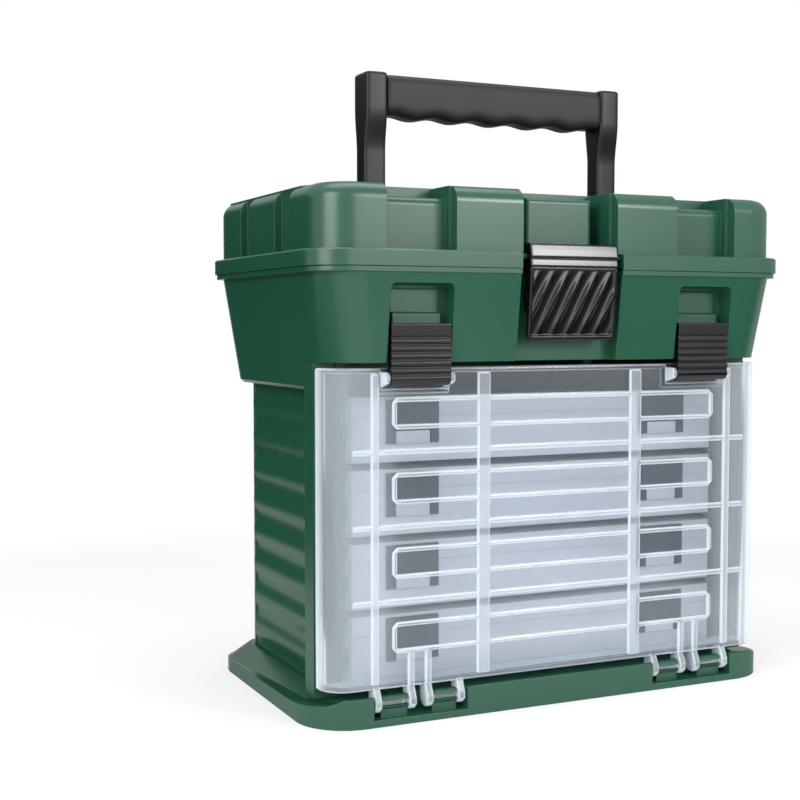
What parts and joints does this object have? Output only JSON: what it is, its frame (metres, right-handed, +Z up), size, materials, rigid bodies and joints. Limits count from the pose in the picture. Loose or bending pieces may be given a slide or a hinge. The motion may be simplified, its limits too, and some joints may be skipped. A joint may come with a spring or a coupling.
{
  "type": "fishing seat box",
  "caption": "Moulded tackle seat box with a lift-up lid, an open tub, a fold-down handle and a clear drop-down door over sliding utility boxes.",
  "frame": {"origin": "centre of the base's footprint, on the floor", "axes": "+Z up, front of the box towards -Y, +X to the right of someone who faces the front"},
  "size_m": [0.284, 0.187, 0.3355],
  "materials": {
    "green_plastic": "semi-gloss dark green moulded polypropylene",
    "black_plastic": "semi-gloss black moulded plastic",
    "grip_sleeve": "matt dark grey moulded sleeve",
    "clear_plastic": "milky clear moulded polypropylene",
    "dark_plastic": "smoke grey moulded plastic"
  },
  "bodies": {
    "case": {"base_plinth": "green_plastic", "cabinet_shell": "green_plastic", "upper_tub": "green_plastic", "latch_catches": "green_plastic"},
    "lid": {"lid_shell": "green_plastic"},
    "main_latch": {"main_latch": "black_plastic"},
    "handle": {"handle_post_left": "black_plastic", "handle_post_right": "black_plastic", "handle_grip": "grip_sleeve"},
    "door": {"front_door": "clear_plastic"},
    "door_latch_left": {"door_latch_left": "black_plastic"},
    "door_latch_right": {"door_latch_right": "black_plastic"},
    "utility_box_1": {"utility_box_1_tray": "clear_plastic", "utility_box_1_dividers": "clear_plastic", "utility_box_1_lid": "clear_plastic", "utility_box_1_latches": "dark_plastic"},
    "utility_box_2": {"utility_box_2_tray": "clear_plastic", "utility_box_2_dividers": "clear_plastic", "utility_box_2_lid": "clear_plastic", "utility_box_2_latches": "dark_plastic"},
    "utility_box_3": {"utility_box_3_tray": "clear_plastic", "utility_box_3_dividers": "clear_plastic", "utility_box_3_lid": "clear_plastic", "utility_box_3_latches": "dark_plastic"},
    "utility_box_4": {"utility_box_4_tray": "clear_plastic", "utility_box_4_dividers": "clear_plastic", "utility_box_4_lid": "clear_plastic", "utility_box_4_latches": "dark_plastic"}
  },
  "joints": [
    {"name": "lid_hinge", "type": "hinge", "parent": "case", "child": "lid", "pos_m": [0, 0.09316, 0.2294], "axis": [-1, 0, 0], "range_deg": [0, 105]},
    {"name": "main_latch_hinge", "type": "hinge", "parent": "lid", "child": "main_latch", "pos_m": [0, -0.0836, 0.2339], "axis": [-1, 0, 0], "range_deg": [0, 95]},
    {"name": "handle_fold", "type": "hinge", "parent": "lid", "child": "handle", "pos_m": [0, 0.00138, 0.2586], "axis": [-1, 0, 0], "range_deg": [0, 90]},
    {"name": "door_hinge", "type": "hinge", "parent": "case", "child": "door", "pos_m": [0, -0.0755, 0.011], "axis": [1, 0, 0], "range_deg": [0, 90]},
    {"name": "door_latch_left_hinge", "type": "hinge", "parent": "door", "child": "door_latch_left", "pos_m": [-0.0849, -0.0809, 0.1728], "axis": [1, 0, 0], "range_deg": [0, 95]},
    {"name": "door_latch_right_hinge", "type": "hinge", "parent": "door", "child": "door_latch_right", "pos_m": [0.0849, -0.0809, 0.1728], "axis": [1, 0, 0], "range_deg": [0, 95]},
    {"name": "utility_box_1_slide", "type": "slide", "parent": "case", "child": "utility_box_1", "axis": [0, -1, 0], "range_m": [0, 0.022]},
    {"name": "utility_box_2_slide", "type": "slide", "parent": "case", "child": "utility_box_2", "axis": [0, -1, 0], "range_m": [0, 0.085]},
    {"name": "utility_box_3_slide", "type": "slide", "parent": "case", "child": "utility_box_3", "axis": [0, -1, 0], "range_m": [0, 0.085]},
    {"name": "utility_box_4_slide", "type": "slide", "parent": "case", "child": "utility_box_4", "axis": [0, -1, 0], "range_m": [0, 0.085]}
  ],
  "couplings": [
    {"joint": "utility_box_1_slide", "follows": "door_hinge", "m_per_rad": 0.014006},
    {"joint": "utility_box_2_slide", "follows": "door_hinge", "m_per_rad": 0.054113},
    {"joint": "utility_box_3_slide", "follows": "door_hinge", "m_per_rad": 0.054113},
    {"joint": "utility_box_4_slide", "follows": "door_hinge", "m_per_rad": 0.054113}
  ]
}
